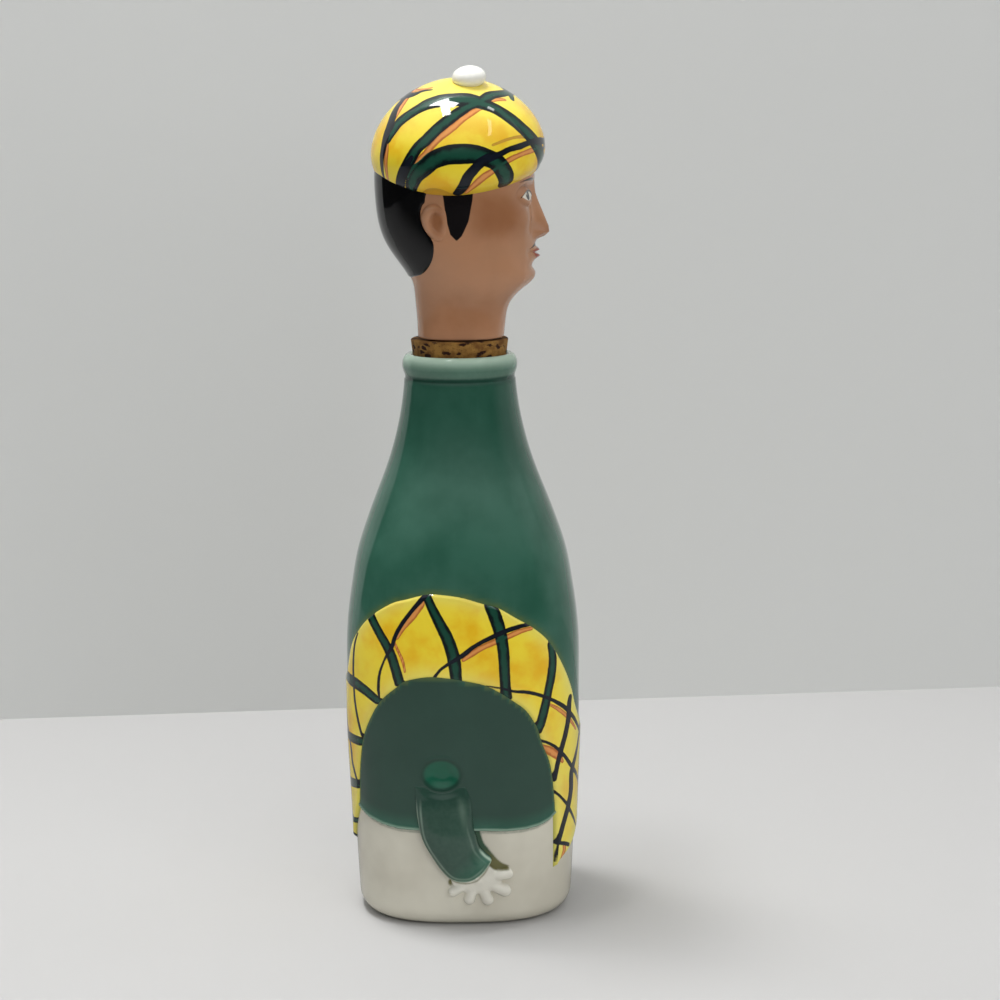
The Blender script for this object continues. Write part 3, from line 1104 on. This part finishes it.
def make_cap():
    """The soft round cap with a rolled edge, worn low over the right ear, and its brushed strokes."""
    dome_rows, skirt_rows, curl_rows = 90, 46, 12
    count = dome_rows + skirt_rows + curl_rows
    bm, angle, up = turned(count, 360)
    index = np.rint((1 - up) * (count - 1)).astype(int)
    # Where the skirt meets the cap's edge, found by halving
    cos_front, sin_front = math.cos(CAP_FRONT), math.sin(CAP_FRONT)
    low, high = np.ones(len(up)), np.full(len(up), 1.9)
    for _ in range(26):
        middle = (low + high) / 2
        r, z = cap_profile(middle)
        x = r * np.cos(angle)
        tipped_x, tipped_z = x * cos_front + z * sin_front, z * cos_front - x * sin_front
        above = tipped_z > CAP_EDGE(tipped_x)
        low, high = np.where(above, middle, low), np.where(above, high, middle)
    end = low
    t = np.where(index < dome_rows, index / dome_rows, 1 + (end - 1) * (index - dome_rows) / (skirt_rows - 1))
    r, z = cap_profile(np.clip(t, 0, end))
    # The edge rolls under and runs up inside
    turn = np.clip(index - (dome_rows + skirt_rows - 1), 0, curl_rows)
    curl, inner = np.clip(turn / 7, 0, 1) * math.pi, np.clip(turn - 7, 0, 5)
    r = r - 1.1 * (1 - np.cos(curl)) - inner * 0.1
    z = z - 0.9 * np.sin(curl) + inner * 0.9
    r = np.where(index == 0, 0.0, r)
    press(bm, tipped_cap(np.stack([r * np.cos(angle), r * np.sin(angle), z], axis=1)))
    face_out(bm, (0, 0, 0.245))

    def paint(p):
        own = (p - np.array(CAP_MIDDLE)) @ CAP_TURN
        values = {
            "amber": 0.45 * ease((-own[:, 2] - 2.0) / 8.0),
            "lemon": 0.65 * ease((own[:, 2] - 6.0) / 14.0),
        }
        return with_strokes(values, CAP_STROKES, along_cap(p))

    finish_piece("cap_glazed", bm, "stopper", "tartan_glaze", ["cap"], paint)


def make_pompon():
    """The white ball on the cap, a little flattened and not quite even."""
    bm = bmesh.new()
    bmesh.ops.create_uvsphere(bm, u_segments=64, v_segments=40, radius=1.0)
    unit = places(bm)
    uneven = 1 + 0.012 * np.sin(3 * np.arctan2(unit[:, 1], unit[:, 0]) + 1) * (1 - unit[:, 2] ** 2)
    press(bm, tipped_cap(unit * np.array(POMPON_SIZE) * uneven[:, None] + np.array(POMPON)))
    face_out(bm, tipped_cap(np.array(POMPON)) * MM)

    def paint(p):
        return {"clean": np.ones(len(p))}

    finish_piece("pompon_glazed", bm, "stopper", "white_glaze", ["pompon"], paint)


def dress_cork():
    """The cork and the glue keep their CAD shape and get their own finishes."""
    for name in ("cork", "cement"):
        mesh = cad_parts[name].data
        mesh.materials.clear()
        mesh.materials.append(finish(name))


# The lamps: name, width, length, watts as a share of the window's, place, turn about the upright
LAMPS = (
    ("window_long", 0.15, 0.565, 0.55, (-0.220, 0.036, 1.25), 0.0),
    ("window_cross", 0.45, 0.15, 0.45, (-0.235, 0.120, 1.25), -34.0),
    ("side_strip", 0.72, 0.10, 0.06, (0.735, -0.540, 1.25), -61.8),
    ("side_square", 0.12, 0.08, 0.02, (0.494, 0.135, 1.25), 0.0),
)
FILL_PLACE = (0.75, -1.5, 0.8)
FILL_SIZE = 1.2
CAMERA_PLACE = (0.0124, -0.6766, 0.2573)
CAMERA_LENS = 77.0
CAMERA_DOWN = 10.39  # degrees
CAMERA_ROLL = -0.5
# Floor and wall: name, half sizes, place and turn of their middle
BOARDS = (
    ("floor", (1.5, 1.5), (0, 0, 0), (0, 0, 0)),
    ("wall", (0.85, 0.6), (0.40, 0.266, 0.6), (math.pi / 2, 0, math.radians(5.0))),
)
BACKGROUND = 0.75  # the room's strength where the camera sees it


def make_board(scene, name, size, location, turn, colour):
    """A matt painted board; from behind, the camera looks through it."""
    bm = bmesh.new()
    bmesh.ops.create_grid(bm, x_segments=1, y_segments=1, size=1.0)
    bmesh.ops.scale(bm, verts=bm.verts, vec=(*size, 1.0))
    bmesh.ops.rotate(bm, verts=bm.verts, cent=(0, 0, 0), matrix=Euler(turn).to_matrix())
    bmesh.ops.translate(bm, verts=bm.verts, vec=location)
    mesh = bpy.data.meshes.new(name)
    bm.to_mesh(mesh)
    bm.free()
    obj = bpy.data.objects.new(name, mesh)
    scene.collection.objects.link(obj)
    material, tree, shader, where = new_material(f"matt painted {name}", 0.8)
    shader.inputs["Base Color"].default_value = colour
    if name == "floor":
        # In the gloss, the floor grows dim towards the front
        gloss = add(tree, "LightPath", out="Is Glossy Ray")
        front = add(tree, "SeparateXYZ", {0: where}, 1)
        ahead = add(tree, "MapRange", {0: front, 1: -0.1, 2: -0.7, 3: 0.45, 4: 0.97}, **SOFT)
        dim = add(tree, "Math", {0: gloss, 1: ahead}, operation="MULTIPLY")
        paint = add(tree, "Mix", {0: dim, 6: colour, 7: tone("#0c0c0c")}, 2, **TINT)
        tree.links.new(paint, shader.inputs["Base Color"])
    behind = add(tree, "NewGeometry", out="Backfacing")
    seen = add(tree, "LightPath", out="Is Camera Ray")
    clear = add(tree, "Math", {0: behind, 1: seen}, operation="MULTIPLY")
    surface = add(tree, "MixShader", {0: clear, 1: shader.outputs[0], 2: add(tree, "BsdfTransparent")})
    tree.links.new(surface, tree.nodes["Material Output"].inputs["Surface"])
    mesh.materials.append(material)


def make_room(scene):
    """The light from all round: dim in front, brighter from behind and above."""
    light = scene.decanter.room_light
    world = bpy.data.worlds.new("room")
    scene.world = world
    world.use_nodes = True
    tree = world.node_tree
    background = tree.nodes["Background"]
    background.inputs["Color"].default_value = tone("#f1f3f4")
    across, way, high = add(tree, "SeparateXYZ", {0: add(tree, "TexCoord", out="Generated")}).node.outputs
    aslant = add(tree, "Math", {0: way, 1: 0.7, 2: across}, operation="MULTIPLY_ADD")
    back = add(tree, "MapRange", {0: aslant, 1: 0.6, 2: 1.1, 3: light * 0.08, 4: light}, **SOFT)
    above = add(tree, "MapRange", {0: high, 1: 0.15, 2: 0.65, 3: 0.0, 4: light * 1.5}, **SOFT)
    room = add(tree, "Math", {0: back, 1: above}, operation="ADD")
    seen = add(tree, "LightPath", out="Is Camera Ray")
    tree.links.new(add(tree, "Mix", {0: seen, 2: room, 3: BACKGROUND}), background.inputs["Strength"])


def make_lamp(scene, name, size, watts, place, turn):
    """An area lamp some metres wide and long."""
    lamp = bpy.data.objects.new(name, bpy.data.lights.new(name, "AREA"))
    lamp.data.shape = "RECTANGLE"
    lamp.data.size, lamp.data.size_y = size
    lamp.data.energy = watts
    lamp.location, lamp.rotation_euler = place, turn
    scene.collection.objects.link(lamp)
    return lamp


def make_stage(scene):
    """A pale floor and wall, a soft window light from above, a dim room, and the camera."""
    look = scene.decanter
    camera = bpy.data.objects.new("camera", bpy.data.cameras.new("camera"))
    scene.collection.objects.link(camera)
    scene.camera = camera
    camera.data.lens = CAMERA_LENS
    camera.location = CAMERA_PLACE
    tilt = Euler((math.radians(90 - CAMERA_DOWN), 0, 0)).to_matrix()
    camera.rotation_euler = (tilt @ Euler((0, 0, math.radians(CAMERA_ROLL))).to_matrix()).to_euler()
    for board, colour in zip(BOARDS, (look.floor, look.wall)):
        make_board(scene, *board, colour[:])
    make_room(scene)
    for name, width, length, share, place, twist in LAMPS:
        make_lamp(scene, name, (width, length), look.window_power * share, place, (0.0, 0.0, math.radians(twist)))
    aim = (Vector((0, 0, 0.12)) - Vector(FILL_PLACE)).to_track_quat("-Z", "Y").to_euler()
    fill = make_lamp(scene, "fill", (FILL_SIZE, FILL_SIZE), look.fill_power, FILL_PLACE, aim)
    fill.visible_glossy = False
    scene.view_settings.view_transform = "Standard"


# The add-on: settings, operators, panel


def colour_setting(name, description, text):
    """A colour that the user can change."""
    return bpy.props.FloatVectorProperty(
        name=name, description=description, default=tone(text), size=4, subtype="COLOR", min=0.0, max=1.0
    )


def amount_setting(name, description, default, **kind):
    """A height, a power or a share that the user can change."""
    return bpy.props.FloatProperty(name=name, description=description, default=default, min=0.0, **kind)


HEIGHT = {"subtype": "DISTANCE", "unit": "LENGTH", "precision": 5}
POWERED = {"subtype": "POWER", "unit": "POWER"}
SHARE = {"subtype": "FACTOR", "max": 1.0}


class DecanterSettings(bpy.types.PropertyGroup):
    """Sizes and colours of the decanter's layers and glazes, and of the stage"""

    coat_relief: amount_setting("Coat relief", "How far the coat stands proud of the bottle", 0.6 * MM, **HEIGHT)
    shawl_relief: amount_setting("Shawl relief", "How far the shawl stands proud of the bottle", 1.2 * MM, **HEIGHT)
    sleeve_relief: amount_setting("Sleeve relief", "How far the sleeves swell out from the coat", 4.3 * MM, **HEIGHT)
    hand_relief: amount_setting("Hand relief", "How far the finger tips stand out", 2.5 * MM, **HEIGHT)
    hair_relief: amount_setting("Hair relief", "How far the hair stands proud of the head", 0.5 * MM, **HEIGHT)
    gloss: amount_setting("Glaze roughness", "Lower gives sharper reflections", 0.05, **SHARE)
    white: colour_setting("White", "The bare earthenware under clear glaze", "#dfdbcb")
    green: colour_setting("Coat green", "Where the coat's glaze lies thick", "#2c5a49")
    thin_green: colour_setting("Thin green", "Where the coat's glaze thins over an edge", "#b4cdb9")
    yellow: colour_setting("Tartan yellow", "The ground colour of the shawl and the cap", "#fde23c")
    deep_yellow: colour_setting("Deep yellow", "Where the yellow glaze lies thick", "#f5bf1c")
    skin: colour_setting("Skin", "The head's ground colour", "#bb8967")
    floor: colour_setting("Floor", "The floor's paint", "#c1c0bf")
    wall: colour_setting("Wall", "The wall's paint", "#dcdddb")
    room_light: amount_setting("Room light", "Strength of the light from all round", 0.42, **SHARE)
    window_power: amount_setting("Window light", "Power of the soft lamps above", 12.5, **POWERED)
    fill_power: amount_setting("Fill light", "Power of the broad soft lamp behind the camera", 8.8, **POWERED)


class DECANTER_OT_shell(bpy.types.Operator):
    """Makes the hollow white bottle"""

    bl_idname = "decanter.shell"
    bl_label = "Bottle"

    def execute(self, context):
        make_shell()
        return {"FINISHED"}


class DECANTER_OT_coat(bpy.types.Operator):
    """Makes the green coat with its hem and lip"""

    bl_idname = "decanter.coat"
    bl_label = "Coat"

    def execute(self, context):
        make_coat()
        return {"FINISHED"}


class DECANTER_OT_shawl(bpy.types.Operator):
    """Makes the raised tartan shawl with its brushed strokes"""

    bl_idname = "decanter.shawl"
    bl_label = "Shawl"

    def execute(self, context):
        make_shawl()
        return {"FINISHED"}


class DECANTER_OT_arms(bpy.types.Operator):
    """Makes both sleeves and both hands"""

    bl_idname = "decanter.arms"
    bl_label = "Arms"

    def execute(self, context):
        for side, name in SIDES:
            make_sleeve(side, name)
            make_hand(side, name)
        return {"FINISHED"}


class DECANTER_OT_head(bpy.types.Operator):
    """Makes the head, the hair and both ears"""

    bl_idname = "decanter.head"
    bl_label = "Head"

    def execute(self, context):
        make_head()
        make_hair()
        for side, name in SIDES:
            make_ear(side, name)
        return {"FINISHED"}


class DECANTER_OT_cap(bpy.types.Operator):
    """Makes the tartan cap and its pompon"""

    bl_idname = "decanter.cap"
    bl_label = "Cap"

    def execute(self, context):
        make_cap()
        make_pompon()
        return {"FINISHED"}


class DECANTER_OT_cork(bpy.types.Operator):
    """Gives the cork and the glue their finishes"""

    bl_idname = "decanter.cork"
    bl_label = "Cork"

    def execute(self, context):
        dress_cork()
        return {"FINISHED"}


class DECANTER_OT_stage(bpy.types.Operator):
    """Sets the floor, the wall, the lamps and the camera"""

    bl_idname = "decanter.stage"
    bl_label = "Stage"

    def execute(self, context):
        make_stage(context.scene)
        return {"FINISHED"}


OPERATORS = (
    DECANTER_OT_stage,
    DECANTER_OT_shell,
    DECANTER_OT_coat,
    DECANTER_OT_shawl,
    DECANTER_OT_arms,
    DECANTER_OT_head,
    DECANTER_OT_cap,
    DECANTER_OT_cork,
)


class DECANTER_PT_panel(bpy.types.Panel):
    """Lists the decanter's settings and pieces"""

    bl_label = "Decanter"
    bl_idname = "DECANTER_PT_panel"
    bl_space_type = "VIEW_3D"
    bl_region_type = "UI"
    bl_category = "Decanter"

    def draw(self, context):
        for key in DecanterSettings.__annotations__:
            self.layout.prop(context.scene.decanter, key)
        for operator in OPERATORS:
            self.layout.operator(operator.bl_idname)


CLASSES = (DecanterSettings, *OPERATORS, DECANTER_PT_panel)


def register():
    for cls in CLASSES:
        bpy.utils.register_class(cls)
    bpy.types.Scene.decanter = bpy.props.PointerProperty(type=DecanterSettings)


def unregister():
    del bpy.types.Scene.decanter
    for cls in reversed(CLASSES):
        bpy.utils.unregister_class(cls)


def main():
    """Makes the stage and every piece."""
    register()
    for operator in OPERATORS:
        group, name = operator.bl_idname.split(".")
        getattr(getattr(bpy.ops, group), name)()


if __name__ == "__main__":
    main()
